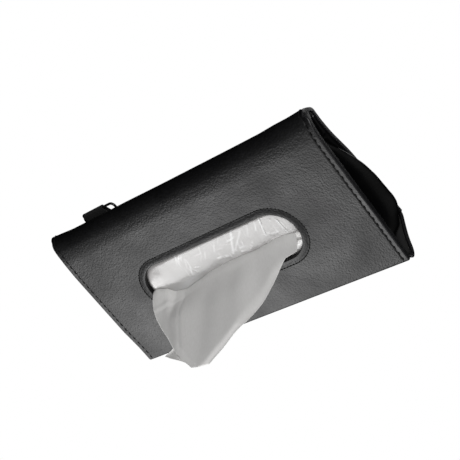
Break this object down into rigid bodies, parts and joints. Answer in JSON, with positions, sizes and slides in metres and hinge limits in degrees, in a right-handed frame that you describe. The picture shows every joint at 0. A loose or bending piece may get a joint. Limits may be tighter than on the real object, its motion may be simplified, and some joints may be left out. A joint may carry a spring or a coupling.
{
  "type": "car tissue holder",
  "caption": "Flat leather pouch that hangs face down under a sun visor on buckled straps, with a slotted front, a magnetic closing lip and a pack of tissues inside.",
  "frame": {"origin": "middle of the back face that lies against the sun visor", "axes": "+Z out of the back, up towards the visor; +X along the pouch; +Y from the rounded spine to the magnetic open edge"},
  "size_m": [0.2398, 0.1173, 0.1041],
  "materials": {
    "black_leather": "satin black artificial leather",
    "gusset_leather": "soft black artificial leather",
    "grey_board": "grey chipboard stiffener",
    "foam": "thin black padding",
    "lining": "plain black lining",
    "magnet": "nickel plated",
    "film": "clear soft film",
    "tissue_paper": "soft white tissue paper",
    "webbing": "black elastic webbing",
    "hook_and_loop": "black hook and loop tape",
    "ring_metal": "black coated wire"
  },
  "bodies": {
    "pouch": {"outer_leather": "black_leather", "front_board": "grey_board", "back_board": "grey_board", "spine_foam": "foam", "pouch_lining": "lining", "slot_rim": "black_leather", "gusset_left": "gusset_leather", "gusset_right": "gusset_leather", "front_magnet_left": "magnet", "front_magnet_right": "magnet", "refill_film": "film", "tissue_stack": "tissue_paper", "visor_strap_left": "webbing", "visor_strap_right": "webbing", "strap_loop_pad_left": "hook_and_loop", "strap_loop_pad_right": "hook_and_loop", "strap_patch_left": "black_leather", "strap_patch_right": "black_leather", "strap_ring_left": "ring_metal", "strap_ring_right": "ring_metal", "ring_tab_left": "black_leather", "ring_tab_right": "black_leather"},
    "closing_lip": {"closure_leather": "black_leather", "closure_lining": "lining", "closure_board": "grey_board", "hem_board": "grey_board", "closure_magnet_left": "magnet", "closure_magnet_right": "magnet"},
    "strap_end_left": {"strap_end_left": "webbing", "strap_hook_pad_left": "hook_and_loop"},
    "strap_end_right": {"strap_end_right": "webbing", "strap_hook_pad_right": "hook_and_loop"},
    "pulled_tissue": {"tissue_sheet": "tissue_paper"}
  },
  "joints": [
    {"name": "closing_lip_hinge", "type": "hinge", "parent": "pouch", "child": "closing_lip", "pos_m": [0, 0.04732, 0], "axis": [1, 0, 0], "range_deg": [0, 95]},
    {"name": "strap_end_left_peel", "type": "hinge", "parent": "pouch", "child": "strap_end_left", "pos_m": [-0.076, -0.05111, 0.00654], "axis": [1, 0, 0], "range_deg": [0, 90]},
    {"name": "strap_end_right_peel", "type": "hinge", "parent": "pouch", "child": "strap_end_right", "pos_m": [0.076, -0.03731, 0.01436], "axis": [1, 0, 0], "range_deg": [0, 90]},
    {"name": "tissue_pull", "type": "slide", "parent": "pouch", "child": "pulled_tissue", "axis": [0, 0.3297, -0.9441], "range_m": [0, 0.05]}
  ]
}
